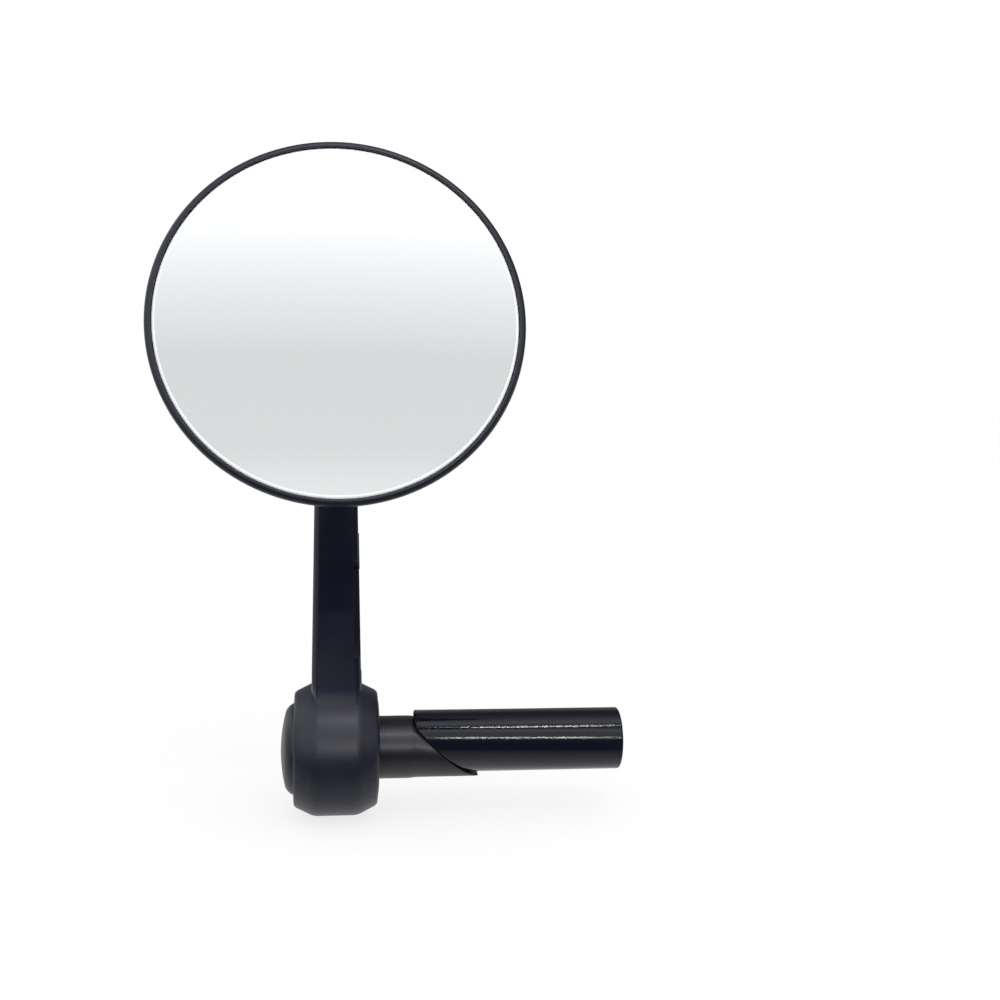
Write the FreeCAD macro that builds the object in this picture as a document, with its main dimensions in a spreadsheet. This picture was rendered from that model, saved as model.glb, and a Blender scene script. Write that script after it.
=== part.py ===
import FreeCAD
import Part
import math
import os
import Sketcher

# Bar-end mirror for a motorcycle handlebar.
# Row frame: origin on the plug axis at the flange face that meets the bar end,
# +X along the plug into the bar, +Z up, the glass looks along -Y.

vec = FreeCAD.Vector
doc = FreeCAD.newDocument("bar_end_mirror")

# Driving sizes in millimetres and degrees, one row of the sheet each
driving = {
    # split plug
    "plug_radius": 8.0,
    "plug_length": 64.8,
    "register_length": 8.0,
    "nose_relief": 0.2,
    "cut_centre": 18.2,
    "cut_angle": 42.0,
    "cut_roll": 17.0,
    "cut_gap": 0.2,
    "cut_blunt": 1.0,
    "rest_lift": 1.6,
    "most_lift": 2.4,
    "end_chamfer": 0.5,
    "flange_radius": 12.2,
    "flange_thickness": 4.0,
    "flange_proud": 0.3,
    "flange_clearance": 0.06,
    # screw that draws the wedge up
    "bolt_radius": 3.0,
    "bolt_length": 70.0,
    "bolt_clearance": 0.35,
    "thread_clearance": 0.06,
    "bolt_head_radius": 5.0,
    "bolt_head_height": 6.0,
    "hex_flats": 5.0,
    "hex_depth": 3.2,
    "washer_radius": 9.0,
    "washer_thickness": 1.6,
    "washer_clearance": 0.2,
    "split_radius": 5.9,
    "split_thickness": 1.6,
    "split_gap": 0.8,
    "friction_thickness": 1.0,
    "friction_edge": 0.4,
    # hub of the arm
    "hub_width": 21.1,
    "hub_radius": 17.0,
    "hub_face_radius": 14.8,
    "hub_band": 11.0,
    "hub_soft": 1.2,
    "hub_edge": 0.6,
    "web_thickness": 5.0,
    "recess_radius": 11.75,
    # blade of the arm, seen along X
    "arm_width": 12.5,
    "arm_lean": 33.8,
    "arm_reach": 87.7,
    "tip_lean": 16.3,
    "tip_reach": 55.0,
    "bend_depth": 11.0,
    "bend_rise": 2.6,
    "root_angle": 36.0,
    "tip_depth": 6.1,
    "bend_round": 20.0,
    "inner_round": 6.0,
    "tip_round": 4.0,
    "boss_round": 2.5,
    "boss_foot": 1.5,
    "arm_chamfer": 1.4,
    "back_chamfer": 0.6,
    "beam_width": 12.8,
    "rebate_depth": 1.6,
    "rebate_start": 23.3,
    "rebate_end": 53.0,
    "rebate_spread": 14.0,
    "ridge_chamfer": 0.4,
    "rib_rise": 0.7,
    "rib_width": 4.2,
    "rib_root": 0.8,
    "rib_lap": 0.3,
    "rib_end": 64.0,
    "rib_fade": 0.3,
    # boss and ball stud at the tip
    "stud_setback": 10.5,
    "boss_depth": 9.0,
    "boss_half": 5.8,
    "stud_reach": 12.9,
    "neck_radius": 3.3,
    "shank_radius": 3.0,
    "shank_length": 6.0,
    "shank_clearance": 0.03,
    "ball_radius": 5.6,
    # nylon round the ball
    "liner_clearance": 0.05,
    "liner_thickness": 0.95,
    "liner_angle": 35.0,
    "cup_clearance": 0.06,
    "seat_radius": 8.3,
    "seat_clearance": 0.08,
    "seat_back": 1.0,
    "seat_front": 8.4,
    "seat_hole": 2.5,
    # disc springs, closing plate and its screws
    "spring_radius": 8.0,
    "spring_hole": 4.2,
    "spring_thickness": 0.7,
    "spring_cone": 0.5,
    "spring_clearance": 0.1,
    "plate_thickness": 2.0,
    "plate_hole": 3.0,
    "screw_circle": 11.8,
    "screw_radius": 1.5,
    "screw_length": 7.0,
    "screw_clearance": 0.05,
    "screw_head_radius": 2.75,
    "screw_head_height": 1.7,
    "screw_count": 3,
    # round head
    "rim_wall": 1.8,
    "head_tilt": 15.4,
    "ball_depth": 15.5,
    "rim_front": 1.5,
    "rim_round": 1.6,
    "rim_roll": 3.0,
    "rim_roll_angle": 54.0,
    "dome_radius": 85.0,
    "shell_wall": 2.2,
    "step_foot_radius": 23.5,
    "step_foot_height": 12.7,
    "step_radius": 21.9,
    "step_height": 18.8,
    "step_round": 1.3,
    "lip_radius": 9.2,
    "lip_height": 20.0,
    "lip_round": 0.8,
    "lip_hole": 6.1,
    "socket_clearance": 0.06,
    "tower_radius": 15.0,
    "tower_root": 11.7,
    # glass and its adhesive ring
    "glass_radius": 47.0,
    "glass_gap": 0.2,
    "glass_thickness": 2.0,
    "glass_curve": 1200.0,
    "glass_recess": 0.2,
    "glass_bevel": 0.6,
    "tape_thickness": 0.5,
    "tape_width": 3.0,
    "tape_inset": 0.4,
    # end cap and its rubber ring
    "cap_rise": 3.4,
    "cap_shoulder": 2.3,
    "cap_crown": 9.2,
    "cap_edge_curve": 3.6,
    "cap_wall": 1.6,
    "cap_skirt": 5.0,
    "cap_clearance": 0.08,
    "cap_ring_wire": 0.6,
    "cap_ring_inset": 2.5,
    "cap_groove_clearance": 0.1,
}

# Sizes that the sheet works out from the driving ones
derived = {
    "head_radius": "=glass_radius + glass_gap + rim_wall",
}

sheet = doc.addObject("Spreadsheet::Sheet", "Sizes")
for row, (alias, entry) in enumerate((driving | derived).items(), start=1):
    sheet.set(f"A{row}", alias)
    sheet.set(f"B{row}", str(entry))
    sheet.setAlias(f"B{row}", alias)
doc.recompute()


class Size:
    # A number together with the sheet expression that gives it
    def __init__(self, value, text):
        self.value = value
        self.text = text

    def __add__(self, other):
        other = as_size(other)
        return Size(self.value + other.value, f"({self.text} + {other.text})")

    def __sub__(self, other):
        other = as_size(other)
        return Size(self.value - other.value, f"({self.text} - {other.text})")

    def __mul__(self, other):
        other = as_size(other)
        return Size(self.value * other.value, f"{self.text} * {other.text}")

    def __truediv__(self, other):
        other = as_size(other)
        return Size(self.value / other.value, f"{self.text} / ({other.text})")

    def __neg__(self):
        return Size(-self.value, f"(0 - {self.text})")


def as_size(thing):
    if isinstance(thing, Size):
        return thing
    return Size(thing, str(thing))


def sine(angle):
    return Size(math.sin(math.radians(angle.value)), f"sin({angle.text})")


def cosine(angle):
    return Size(math.cos(math.radians(angle.value)), f"cos({angle.text})")


def tangent(angle):
    return Size(math.tan(math.radians(angle.value)), f"tan({angle.text})")


def leg(hypotenuse, other_leg):
    # The remaining leg of a right triangle
    value = math.sqrt(hypotenuse.value ** 2 - other_leg.value ** 2)
    return Size(value, f"sqrt(({hypotenuse.text})^2 - ({other_leg.text})^2)")


def hypotenuse(one_leg, other_leg):
    # The long side of a right triangle
    value = math.hypot(one_leg.value, other_leg.value)
    return Size(value, f"sqrt(({one_leg.text})^2 + ({other_leg.text})^2)")


class Sheet:
    # Gives each alias of the sheet as a Size
    def __getattr__(self, alias):
        return Size(float(sheet.get(alias)), f"Sizes.{alias}")


at = Sheet()


def bind(thing, path, size):
    thing.setExpression(path, as_size(size).text)


def new_body(label):
    body = doc.addObject("PartDesign::Body", label)
    body.Label = label
    body.AllowCompound = True
    return body


def place(body, x, y, z, axis, angle):
    body.Placement = FreeCAD.Placement(vec(0, 0, 0), FreeCAD.Rotation(axis, angle.value))
    bind(body, "Placement.Rotation.Angle", angle)
    bind(body, "Placement.Base.x", x)
    bind(body, "Placement.Base.y", y)
    bind(body, "Placement.Base.z", z)


def new_sketch(body, name, role, lift=None):
    sketch = body.newObject("Sketcher::SketchObject", f"{body.Name}_{name}")
    plane = [item for item in body.Origin.OriginFeatures if item.Role == role][0]
    sketch.AttachmentSupport = [(plane, "")]
    sketch.MapMode = "FlatFace"
    if lift is not None:
        bind(sketch, "AttachmentOffset.Base.z", lift)
    return sketch


def pin_coordinate(sketch, kind, edge, end, size):
    # Ties one coordinate of an edge's end to its size
    size = as_size(size)
    if size.text == "0":
        axis = -2 if kind == "DistanceX" else -1
        sketch.addConstraint(Sketcher.Constraint("PointOnObject", edge, end, axis))
        return
    number = sketch.addConstraint(Sketcher.Constraint(kind, -1, 1, edge, end, size.value))
    bind(sketch, f"Constraints[{number}]", size)


def draw(sketch, corners):
    # A closed outline. A corner is (x, y), or (x, y, radius, side) where an arc leaves it;
    # side 1 bulges to the left of the way to the next corner, -1 to the right.
    first = sketch.GeometryCount
    ends = []
    for index, corner in enumerate(corners):
        following = corners[(index + 1) % len(corners)]
        start = vec(as_size(corner[0]).value, as_size(corner[1]).value, 0)
        stop = vec(as_size(following[0]).value, as_size(following[1]).value, 0)
        if len(corner) == 2:
            sketch.addGeometry(Part.LineSegment(start, stop), False)
            ends.append((1, 2))
            continue
        radius = corner[2].value
        side = corner[3]
        chord = stop - start
        left = vec(-chord.y, chord.x, 0).normalize()
        sag = radius - math.sqrt(radius ** 2 - chord.Length ** 2 / 4)
        middle = (start + stop) * 0.5 + left * (side * sag)
        if side > 0:
            sketch.addGeometry(Part.ArcOfCircle(stop, middle, start), False)
            ends.append((2, 1))
        else:
            sketch.addGeometry(Part.ArcOfCircle(start, middle, stop), False)
            ends.append((1, 2))
    for index, corner in enumerate(corners):
        edge = first + index
        after = first + (index + 1) % len(corners)
        joint = (edge, ends[index][1], after, ends[(index + 1) % len(corners)][0])
        sketch.addConstraint(Sketcher.Constraint("Coincident", *joint))
    for index, corner in enumerate(corners):
        edge = first + index
        pin_coordinate(sketch, "DistanceX", edge, ends[index][0], corner[0])
        pin_coordinate(sketch, "DistanceY", edge, ends[index][0], corner[1])
        if len(corner) == 4:
            number = sketch.addConstraint(Sketcher.Constraint("Radius", edge, corner[2].value))
            bind(sketch, f"Constraints[{number}]", corner[2])


def draw_circle(sketch, x, y, radius):
    centre = vec(as_size(x).value, as_size(y).value, 0)
    edge = sketch.addGeometry(Part.Circle(centre, vec(0, 0, 1), radius.value), False)
    pin_coordinate(sketch, "DistanceX", edge, 3, x)
    pin_coordinate(sketch, "DistanceY", edge, 3, y)
    number = sketch.addConstraint(Sketcher.Constraint("Radius", edge, radius.value))
    bind(sketch, f"Constraints[{number}]", radius)


def revolve(body, sketch, axis, kind="PartDesign::Revolution"):
    feature = body.newObject(kind, f"{sketch.Name}_turned")
    feature.Profile = sketch
    feature.ReferenceAxis = (sketch, [axis])
    feature.Angle = 360
    doc.recompute()
    return feature


def pocket_through(body, sketch):
    feature = body.newObject("PartDesign::Pocket", f"{sketch.Name}_cut")
    feature.Profile = sketch
    feature.Type = "ThroughAll"
    feature.Midplane = True
    doc.recompute()
    return feature


def pocket_deep(body, sketch, depth, reverse):
    feature = body.newObject("PartDesign::Pocket", f"{sketch.Name}_cut")
    feature.Profile = sketch
    bind(feature, "Length", depth)
    feature.Reversed = reverse
    doc.recompute()
    return feature


def edge_names(shape, wanted):
    names = []
    for number, edge in enumerate(shape.Edges, start=1):
        if wanted(edge):
            names.append(f"Edge{number}")
    return names


def dress(body, kind, base, wanted, path, size):
    # A fillet or chamfer on the edges of base that pass the test
    feature = body.newObject(kind, f"{base.Name}_dressed")
    feature.Base = (base, edge_names(base.Shape, wanted))
    bind(feature, path, size)
    doc.recompute()
    return feature


# Places that several pieces share
web_inner = at.flange_thickness + at.friction_thickness
web_outer = web_inner + at.web_thickness
hub_outer = at.flange_proud + at.hub_width
hub_middle = at.flange_proud + at.hub_width / 2
bolt_bore = at.bolt_radius + at.most_lift + at.bolt_clearance
lift_y = -(at.rest_lift * sine(at.cut_roll))
lift_z = at.rest_lift * cosine(at.cut_roll)
cut_slope = as_size(1) / tangent(at.cut_angle)

bend_y = at.hub_radius * cosine(at.arm_lean) + at.arm_reach * sine(at.arm_lean)
bend_z = at.arm_reach * cosine(at.arm_lean) - at.hub_radius * sine(at.arm_lean)
tip_y = bend_y - at.tip_reach * sine(at.tip_lean)
tip_z = bend_z + at.tip_reach * cosine(at.tip_lean)
stud_z = tip_z - at.stud_setback
boss_y = tip_y - at.boss_depth
ball_y = boss_y - at.stud_reach

liner_inner = at.ball_radius + at.liner_clearance
liner_outer = liner_inner + at.liner_thickness
cup_radius = liner_outer + at.cup_clearance
socket_radius = liner_outer + at.socket_clearance
seat_bore = at.seat_radius + at.seat_clearance

head_front = -(at.ball_depth + at.rim_front)
glass_edge = head_front + at.glass_recess
glass_back = glass_edge + at.glass_thickness
ledge = glass_back + at.tape_thickness
back_curve = at.glass_curve - at.glass_thickness
tower_front = -(at.seat_front + at.spring_thickness * 2 + at.spring_cone * 2 + at.spring_clearance)


def back_of_glass(radius):
    # Depth of the curved back of the glass at a radius
    return glass_back - (leg(back_curve, radius) - leg(back_curve, at.glass_radius))


def on_head(body):
    place(body, -hub_middle, ball_y, stud_z, vec(-1, 0, 0), at.head_tilt)


def on_bolt(body, x):
    place(body, x, lift_y, lift_z, vec(1, 0, 0), at.cut_roll)


def ring(label, thickness, inner, outer):
    # A flat ring on the X axis, from x = 0 towards -X
    body = new_body(label)
    sketch = new_sketch(body, "section", "XZ_Plane")
    draw(sketch, [(-thickness, inner), (-thickness, outer), (0, outer), (0, inner)])
    revolve(body, sketch, "H_Axis")
    return body


def make_spindle():
    body = new_body("spindle")
    nose_radius = at.plug_radius - at.nose_relief
    reach = at.plug_radius * cut_slope
    nose_end = at.cut_centre + reach
    sketch = new_sketch(body, "section", "XZ_Plane")
    draw(sketch, [
        (-at.flange_thickness, bolt_bore),
        (-at.flange_thickness, at.flange_radius - at.end_chamfer),
        (at.end_chamfer - at.flange_thickness, at.flange_radius),
        (-at.end_chamfer, at.flange_radius),
        (0, at.flange_radius - at.end_chamfer),
        (0, at.plug_radius),
        (at.register_length, at.plug_radius),
        (at.register_length, nose_radius),
        (nose_end - at.cut_blunt, nose_radius),
        (nose_end - at.cut_blunt, bolt_bore),
    ])
    revolve(body, sketch, "H_Axis")
    oblique = new_sketch(body, "oblique", "XZ_Plane")
    beyond = nose_end + at.plug_radius
    draw(oblique, [
        (at.cut_centre - reach, at.plug_radius),
        (at.cut_centre + reach, -at.plug_radius),
        (beyond, -at.plug_radius),
        (beyond, at.plug_radius),
    ])
    pocket_through(body, oblique)
    place(body, as_size(0), as_size(0), as_size(0), vec(1, 0, 0), at.cut_roll)


def make_wedge():
    body = new_body("wedge")
    reach = at.plug_radius * cut_slope
    gap = at.cut_gap / sine(at.cut_angle)
    nose = at.cut_centre - reach + gap
    hole = at.bolt_radius + at.thread_clearance
    sketch = new_sketch(body, "section", "XZ_Plane")
    draw(sketch, [
        (nose + at.cut_blunt, hole),
        (nose + at.cut_blunt, at.plug_radius),
        (at.plug_length - at.end_chamfer, at.plug_radius),
        (at.plug_length, at.plug_radius - at.end_chamfer),
        (at.plug_length, hole + at.end_chamfer),
        (at.plug_length - at.end_chamfer, hole),
    ])
    revolve(body, sketch, "H_Axis")
    oblique = new_sketch(body, "oblique", "XZ_Plane")
    draw(oblique, [
        (nose, at.plug_radius),
        (nose - at.plug_radius, at.plug_radius),
        (nose - at.plug_radius, -at.plug_radius),
        (nose + reach * 2, -at.plug_radius),
    ])
    pocket_through(body, oblique)
    place(body, -(at.rest_lift * cut_slope), lift_y, lift_z, vec(1, 0, 0), at.cut_roll)


def make_expander_bolt():
    body = new_body("expander_bolt")
    sketch = new_sketch(body, "section", "XZ_Plane")
    edge = at.bolt_radius / 5
    draw(sketch, [
        (-at.bolt_head_height, 0),
        (-at.bolt_head_height, at.bolt_head_radius - edge),
        (edge - at.bolt_head_height, at.bolt_head_radius),
        (0, at.bolt_head_radius),
        (0, at.bolt_radius),
        (at.bolt_length - edge, at.bolt_radius),
        (at.bolt_length, at.bolt_radius - edge),
        (at.bolt_length, 0),
    ])
    revolve(body, sketch, "H_Axis")
    socket = new_sketch(body, "socket", "YZ_Plane", -at.bolt_head_height)
    flat = at.hex_flats / 2
    half_side = flat * tangent(as_size(30))
    corner = half_side * 2
    draw(socket, [
        (flat, half_side),
        (0, corner),
        (-flat, half_side),
        (-flat, -half_side),
        (0, -corner),
        (flat, -half_side),
    ])
    pocket_deep(body, socket, at.hex_depth, True)
    on_bolt(body, -(web_outer + at.washer_thickness + at.split_thickness))


def make_bolt_washers():
    hole = at.bolt_radius + at.washer_clearance
    flat = ring("bolt_washer", at.washer_thickness, hole, at.washer_radius)
    on_bolt(flat, -web_outer)
    split = ring("spring_washer", at.split_thickness, hole, at.split_radius)
    slit = new_sketch(split, "slit", "YZ_Plane")
    half_gap = at.split_gap / 2
    draw(slit, [
        (-half_gap, 0),
        (-half_gap, at.split_radius + half_gap),
        (half_gap, at.split_radius + half_gap),
        (half_gap, 0),
    ])
    pocket_through(split, slit)
    on_bolt(split, -(web_outer + at.washer_thickness))


def make_friction_washer():
    body = ring("friction_washer", at.friction_thickness, bolt_bore, at.flange_radius - at.friction_edge)
    bind(body, "Placement.Base.x", -at.flange_thickness)


def make_arm():
    body = new_body("arm")
    half_hub = at.hub_width / 2
    half_arm = at.arm_width / 2
    foot_z = stud_z - at.boss_half - at.boss_foot
    foot_y = tip_y + (tip_z - foot_z) * tangent(at.tip_lean) - at.tip_depth
    inner_y = bend_y - at.bend_depth
    inner_z = bend_z + at.bend_rise
    corners = [
        (at.hub_radius * cosine(at.arm_lean), -(at.hub_radius * sine(at.arm_lean))),
        (bend_y, bend_z),
        (tip_y, tip_z),
        (boss_y, stud_z + at.boss_half),
        (boss_y, stud_z - at.boss_half),
        (foot_y, foot_z),
        (inner_y, inner_z),
        (-(at.hub_radius * sine(at.root_angle)), at.hub_radius * cosine(at.root_angle)),
        (0, 0),
    ]
    outline = new_sketch(body, "outline", "YZ_Plane", -half_arm)
    draw(outline, corners)
    blade = body.newObject("PartDesign::Pad", "arm_blade")
    blade.Profile = outline
    bind(blade, "Length", at.arm_width)
    doc.recompute()

    # Rounded corners of the blade
    rounds = [(1, at.bend_round), (2, at.tip_round), (3, at.boss_round), (4, at.boss_round)]
    rounds += [(5, at.boss_foot), (6, at.inner_round)]
    for number, radius in rounds:
        spot = vec(0, corners[number][0].value, corners[number][1].value)

        def across_at_spot(edge):
            return edge.CenterOfMass.distanceToPoint(spot) < 0.01

        blade = dress(body, "PartDesign::Fillet", blade, across_at_spot, "Radius", radius)

    # Bevelled outline on both sides, wide along the front of the blade and narrow along its back
    lean = math.radians(at.arm_lean.value)
    tip = math.radians(at.tip_lean.value)

    def on_side(edge):
        place_of = edge.CenterOfMass
        flat = abs(edge.BoundBox.XLength) < 0.001 and abs(abs(place_of.x) - half_arm.value) < 0.001
        return flat and math.hypot(place_of.y, place_of.z) > at.hub_radius.value

    def at_back(edge):
        place_of = edge.CenterOfMass
        lower = place_of.y * math.cos(lean) - place_of.z * math.sin(lean) - at.hub_radius.value
        upper = (place_of.y - bend_y.value) * math.cos(tip) + (place_of.z - bend_z.value) * math.sin(tip)
        return max(lower, upper) > -at.bend_depth.value / 3

    def front_side(edge):
        return on_side(edge) and not at_back(edge)

    def back_side(edge):
        return on_side(edge) and at_back(edge)

    blade = dress(body, "PartDesign::Chamfer", blade, front_side, "Size", at.arm_chamfer)
    dress(body, "PartDesign::Chamfer", blade, back_side, "Size", at.back_chamfer)

    # Barrel hub with softly rounded edges to its crown, and the cavity through it
    half_band = at.hub_band / 2
    flank_run = half_hub - at.hub_edge - half_band
    flank_fall = at.hub_radius - at.hub_face_radius
    flank = hypotenuse(flank_run, flank_fall)
    soft_run = at.hub_soft * flank_run / flank
    soft_fall = at.hub_soft * flank_fall / flank
    soft_curve = at.hub_soft * flank_fall / (flank - flank_run)
    barrel = new_sketch(body, "barrel", "XZ_Plane")
    draw(barrel, [
        (-half_hub, 0),
        (-half_hub, at.hub_face_radius - at.hub_edge),
        (at.hub_edge - half_hub, at.hub_face_radius),
        (-half_band - soft_run, at.hub_radius - soft_fall, soft_curve, 1),
        (at.hub_soft - half_band, at.hub_radius),
        (half_band - at.hub_soft, at.hub_radius, soft_curve, 1),
        (half_band + soft_run, at.hub_radius - soft_fall),
        (half_hub - at.hub_edge, at.hub_face_radius),
        (half_hub, at.hub_face_radius - at.hub_edge),
        (half_hub, 0),
    ])
    revolve(body, barrel, "H_Axis")
    floor_x = hub_middle - web_inner
    shelf_x = hub_middle - web_outer
    counterbore = at.flange_radius + at.flange_clearance
    cavity = new_sketch(body, "cavity", "XZ_Plane")
    draw(cavity, [
        (-hub_middle, 0),
        (-hub_middle, at.recess_radius),
        (shelf_x, at.recess_radius),
        (shelf_x, bolt_bore),
        (floor_x, bolt_bore),
        (floor_x, counterbore),
        (hub_middle, counterbore),
        (hub_middle, 0),
    ])
    revolve(body, cavity, "H_Axis", "PartDesign::Groove")

    # Sloping rib on the plug side, which runs out of the hub and fades towards the bend
    offset = at.hub_radius - at.beam_width
    along_y = sine(at.arm_lean)
    along_z = cosine(at.arm_lean)
    sections = []
    for name, along, share in (("rib", at.hub_face_radius, as_size(1)), ("rib_end", at.rib_end, at.rib_fade)):
        section = new_sketch(body, name, "XY_Plane", along * along_z)
        turn = FreeCAD.Rotation(vec(-1, 0, 0), at.arm_lean.value)
        section.AttachmentOffset = FreeCAD.Placement(vec(0, 0, 0), turn)
        bind(section, "AttachmentOffset.Rotation.Angle", at.arm_lean)
        bind(section, "AttachmentOffset.Base.y", along * along_y)
        width = at.rib_width * share
        rise = at.rib_rise * share
        top = half_arm + rise + at.rib_rise * at.rib_lap / at.rib_width
        draw(section, [
            (half_arm - at.rib_root, offset - at.rib_lap),
            (top, offset - at.rib_lap),
            (half_arm, offset + width),
            (half_arm - at.rib_root, offset + width),
        ])
        sections.append(section)
    rib = body.newObject("PartDesign::AdditiveLoft", "arm_rib_raised")
    rib.Profile = sections[0]
    rib.Sections = sections[1:]
    rib.Ruled = True
    doc.recompute()

    # Thinned web on the plug side, along the inner edge of the blade
    start = leg(at.rebate_start, offset)
    ridge_start = (offset * along_z + start * along_y, start * along_z - offset * along_y)
    ridge_end = (offset * along_z + at.rebate_end * along_y, at.rebate_end * along_z - offset * along_y)
    rib_top = half_arm + at.rib_rise
    rebate = new_sketch(body, "rebate", "YZ_Plane", rib_top)
    draw(rebate, [
        ridge_start,
        ridge_end,
        (ridge_end[0] - at.rebate_spread * along_z, ridge_end[1] + at.rebate_spread * along_y),
        (0, at.rebate_start, at.rebate_start, 1),
    ])
    thinned = pocket_deep(body, rebate, at.rib_rise + at.rebate_depth, False)
    ridge_y = (ridge_start[0].value + ridge_end[0].value) / 2
    ridge_z = (ridge_start[1].value + ridge_end[1].value) / 2
    ridge = vec(half_arm.value, ridge_y, ridge_z)

    def at_ridge(edge):
        above = edge.CenterOfMass - ridge
        return math.hypot(above.y, above.z) < 0.5 and 0 < above.x < at.rib_rise.value

    dress(body, "PartDesign::Chamfer", thinned, at_ridge, "Size", at.ridge_chamfer)

    # Threaded hole for the ball stud
    hole = new_sketch(body, "stud_hole", "YZ_Plane")
    hole_radius = at.shank_radius + at.shank_clearance
    bottom_y = boss_y + at.shank_length + at.shank_clearance
    mouth_y = boss_y - at.boss_round
    draw(hole, [
        (mouth_y, stud_z),
        (bottom_y, stud_z),
        (bottom_y, stud_z + hole_radius),
        (mouth_y, stud_z + hole_radius),
    ])
    axis = hole.addGeometry(Part.LineSegment(vec(0, stud_z.value, 0), vec(1, stud_z.value, 0)), True)
    pin_coordinate(hole, "DistanceY", axis, 1, stud_z)
    pin_coordinate(hole, "DistanceY", axis, 2, stud_z)
    revolve(body, hole, "Axis0", "PartDesign::Groove")
    bind(body, "Placement.Base.x", -hub_middle)


def make_end_cap():
    body = new_body("end_cap")
    skirt = at.recess_radius - at.cap_clearance
    inside = skirt - at.cap_wall
    skirt_end = at.cap_skirt - hub_outer
    groove_middle = at.cap_ring_inset - hub_outer
    groove_half = at.cap_ring_wire + at.cap_groove_clearance
    groove_floor = at.recess_radius - at.cap_ring_wire * 2 - at.cap_groove_clearance
    bulge = at.cap_rise - at.cap_shoulder
    crown_curve = (at.cap_crown * at.cap_crown + bulge * bulge) / (bulge * 2)
    sketch = new_sketch(body, "section", "XZ_Plane")
    draw(sketch, [
        (-(hub_outer + at.cap_rise), 0, crown_curve, 1),
        (-(hub_outer + at.cap_shoulder), at.cap_crown, at.cap_edge_curve, 1),
        (-hub_outer, skirt),
        (groove_middle - groove_half, skirt),
        (groove_middle - groove_half, groove_floor),
        (groove_middle + groove_half, groove_floor),
        (groove_middle + groove_half, skirt),
        (skirt_end, skirt),
        (skirt_end, inside - at.cap_wall / 2),
        (-hub_outer, inside - at.cap_wall / 2),
        (at.cap_wall - hub_outer - at.cap_rise, at.cap_crown - at.cap_wall),
        (at.cap_wall - hub_outer - at.cap_rise, 0),
    ])
    revolve(body, sketch, "H_Axis")


def make_cap_ring():
    torus = doc.addObject("Part::Torus", "cap_ring")
    torus.Label = "cap_ring"
    torus.Placement = FreeCAD.Placement(vec(0, 0, 0), FreeCAD.Rotation(vec(0, 1, 0), 90))
    bind(torus, "Radius1", at.recess_radius - at.cap_ring_wire)
    bind(torus, "Radius2", at.cap_ring_wire)
    bind(torus, "Placement.Base.x", at.cap_ring_inset - hub_outer)


def make_ball_stud():
    body = new_body("ball_stud")
    sketch = new_sketch(body, "section", "XY_Plane")
    end = at.stud_reach + at.shank_length
    draw(sketch, [
        (0, -at.ball_radius, at.ball_radius, -1),
        (at.neck_radius, leg(at.ball_radius, at.neck_radius)),
        (at.neck_radius, at.stud_reach),
        (at.shank_radius, at.stud_reach),
        (at.shank_radius, end),
        (0, end),
    ])
    revolve(body, sketch, "V_Axis")
    bind(body, "Placement.Base.x", -hub_middle)
    bind(body, "Placement.Base.y", ball_y)
    bind(body, "Placement.Base.z", stud_z)


def make_ball_liner():
    body = new_body("ball_liner")
    across = cosine(at.liner_angle)
    along = sine(at.liner_angle)
    sketch = new_sketch(body, "section", "XY_Plane")
    draw(sketch, [
        (liner_inner * across, liner_inner * along, liner_inner, 1),
        (liner_inner * across, -(liner_inner * along)),
        (liner_outer * across, -(liner_outer * along), liner_outer, -1),
        (liner_outer * across, liner_outer * along),
    ])
    revolve(body, sketch, "V_Axis")
    bind(body, "Placement.Base.x", -hub_middle)
    bind(body, "Placement.Base.y", ball_y)
    bind(body, "Placement.Base.z", stud_z)


def make_ball_seat():
    body = new_body("ball_seat")
    sketch = new_sketch(body, "section", "XY_Plane")
    draw(sketch, [
        (at.seat_hole, -at.seat_front),
        (at.seat_radius, -at.seat_front),
        (at.seat_radius, -at.seat_back),
        (leg(cup_radius, at.seat_back), -at.seat_back, cup_radius, 1),
        (at.seat_hole, -leg(cup_radius, at.seat_hole)),
    ])
    revolve(body, sketch, "V_Axis")
    on_head(body)


def make_disc_springs():
    body = new_body("disc_springs")
    seat_face = -at.seat_front
    plate_face = tower_front + at.spring_clearance / 2
    rise = at.spring_cone
    thick = at.spring_thickness
    sketch = new_sketch(body, "section", "XY_Plane")
    draw(sketch, [
        (at.spring_hole, seat_face),
        (at.spring_radius, seat_face - rise),
        (at.spring_radius, seat_face - rise - thick),
        (at.spring_hole, seat_face - thick),
    ])
    draw(sketch, [
        (at.spring_hole, plate_face),
        (at.spring_radius, plate_face + rise),
        (at.spring_radius, plate_face + rise + thick),
        (at.spring_hole, plate_face + thick),
    ])
    revolve(body, sketch, "V_Axis")
    on_head(body)


def screw_ring(body, feature):
    # Repeats a feature evenly round the head's axis
    pattern = body.newObject("PartDesign::PolarPattern", f"{feature.Name}_ring")
    pattern.Originals = [feature]
    axis = [item for item in body.Origin.OriginFeatures if item.Role == "Y_Axis"][0]
    pattern.Axis = (axis, [""])
    pattern.Angle = 360
    bind(pattern, "Occurrences", at.screw_count)
    body.Tip = pattern
    doc.recompute()


def screw_holes(body, face_y, depth, radius):
    holes = new_sketch(body, "screw_hole", "XZ_Plane", -face_y)
    draw_circle(holes, at.screw_circle, 0, radius)
    screw_ring(body, pocket_deep(body, holes, depth, False))


def make_spring_plate():
    body = new_body("spring_plate")
    sketch = new_sketch(body, "section", "XY_Plane")
    front = tower_front - at.plate_thickness
    draw(sketch, [
        (at.plate_hole, front),
        (at.tower_radius, front),
        (at.tower_radius, tower_front),
        (at.plate_hole, tower_front),
    ])
    revolve(body, sketch, "V_Axis")
    screw_holes(body, front, at.plate_thickness, at.screw_radius + at.screw_clearance)
    on_head(body)


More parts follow.
